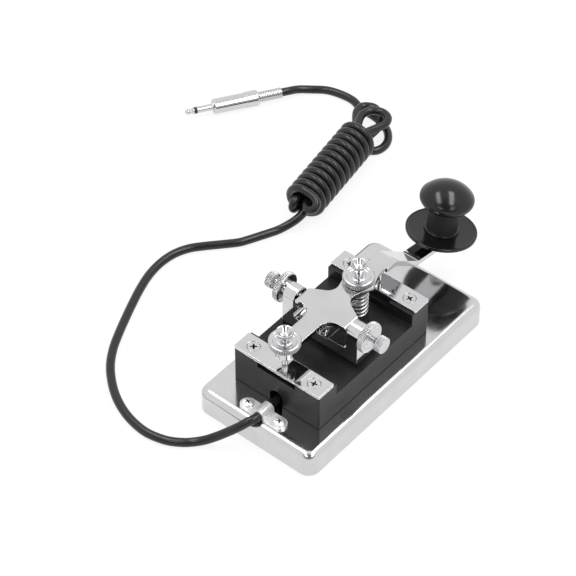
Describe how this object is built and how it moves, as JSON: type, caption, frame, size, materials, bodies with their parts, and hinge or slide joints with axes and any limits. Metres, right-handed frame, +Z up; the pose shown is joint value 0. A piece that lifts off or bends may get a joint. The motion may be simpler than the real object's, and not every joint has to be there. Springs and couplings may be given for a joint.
{
  "type": "telegraph key",
  "caption": "Straight hand telegraph key on a chromed base, with a rocking lever, black finger knob, adjusting screws and a wound cord ending in a mono plug.",
  "frame": {"origin": "middle of the key's outline at the height of the surface it stands on, cord left out", "axes": "+X along the key's length towards the finger knob, Y along the pivot axis, +Z up"},
  "size_m": [0.2423, 0.205, 0.0591],
  "materials": {
    "chrome": "polished",
    "bright_steel": "bright",
    "moulding": "satin gloss",
    "knob": "gloss",
    "foot_rubber": "matt",
    "cord_jacket": "soft gloss",
    "insulator": "matt"
  },
  "bodies": {
    "base": {"base_pan": "chrome", "base_feet": "foot_rubber", "body_block": "moulding", "body_screws": "bright_steel", "rear_strip": "chrome", "front_strip": "chrome", "strip_screws": "chrome", "pivot_bracket": "chrome", "bracket_screw": "chrome", "return_spring": "bright_steel", "cable_clamp": "chrome", "clamp_screws": "chrome", "cord_to_hank": "cord_jacket", "cord_hank": "cord_jacket", "cord_to_plug": "cord_jacket", "plug_tip": "chrome", "plug_insulator": "insulator", "plug_sleeve": "chrome", "plug_shell": "chrome", "plug_strain_relief": "bright_steel"},
    "lever": {"lever": "chrome", "contact_pin": "chrome", "gap_bush": "chrome", "knob_skirt": "knob", "finger_knob": "knob", "knob_screw": "bright_steel"},
    "gap_screw": {"gap_screw": "chrome"},
    "gap_lock_nut": {"gap_lock_nut": "chrome"},
    "tension_screw": {"tension_screw": "chrome"},
    "tension_lock_nut": {"tension_lock_nut": "chrome"},
    "pivot_screw_left": {"pivot_screw_left": "chrome"},
    "pivot_screw_right": {"pivot_screw_right": "chrome"},
    "pivot_lock_nut_left": {"pivot_lock_nut_left": "chrome"},
    "pivot_lock_nut_right": {"pivot_lock_nut_right": "chrome"}
  },
  "joints": [
    {"name": "key_lever", "type": "hinge", "parent": "base", "child": "lever", "pos_m": [-0.0256, 0, 0.0452], "axis": [0, 1, 0], "range_deg": [0, 1.3], "stiffness_Nm_per_rad": 1.4, "springref_deg": -6.3, "deforming": ["return_spring"]},
    {"name": "gap_screw_turn", "type": "hinge", "parent": "lever", "child": "gap_screw", "pos_m": [-0.05475, 0, 0.05], "axis": [0, 0, 1], "continuous": true},
    {"name": "gap_lock_nut_turn", "type": "hinge", "parent": "lever", "child": "gap_lock_nut", "pos_m": [-0.05475, 0, 0.05], "axis": [0, 0, 1], "continuous": true},
    {"name": "tension_screw_turn", "type": "hinge", "parent": "lever", "child": "tension_screw", "pos_m": [-0.0025, 0, 0.05], "axis": [0, 0, 1], "continuous": true},
    {"name": "tension_lock_nut_turn", "type": "hinge", "parent": "lever", "child": "tension_lock_nut", "pos_m": [-0.0025, 0, 0.05], "axis": [0, 0, 1], "continuous": true},
    {"name": "pivot_screw_left_turn", "type": "hinge", "parent": "base", "child": "pivot_screw_left", "pos_m": [-0.0256, 0.03, 0.0452], "axis": [0, 1, 0], "continuous": true},
    {"name": "pivot_screw_right_turn", "type": "hinge", "parent": "base", "child": "pivot_screw_right", "pos_m": [-0.0256, -0.03, 0.0452], "axis": [0, -1, 0], "continuous": true},
    {"name": "pivot_lock_nut_left_turn", "type": "hinge", "parent": "base", "child": "pivot_lock_nut_left", "pos_m": [-0.0256, 0.024, 0.0452], "axis": [0, 1, 0], "continuous": true},
    {"name": "pivot_lock_nut_right_turn", "type": "hinge", "parent": "base", "child": "pivot_lock_nut_right", "pos_m": [-0.0256, -0.024, 0.0452], "axis": [0, -1, 0], "continuous": true}
  ]
}
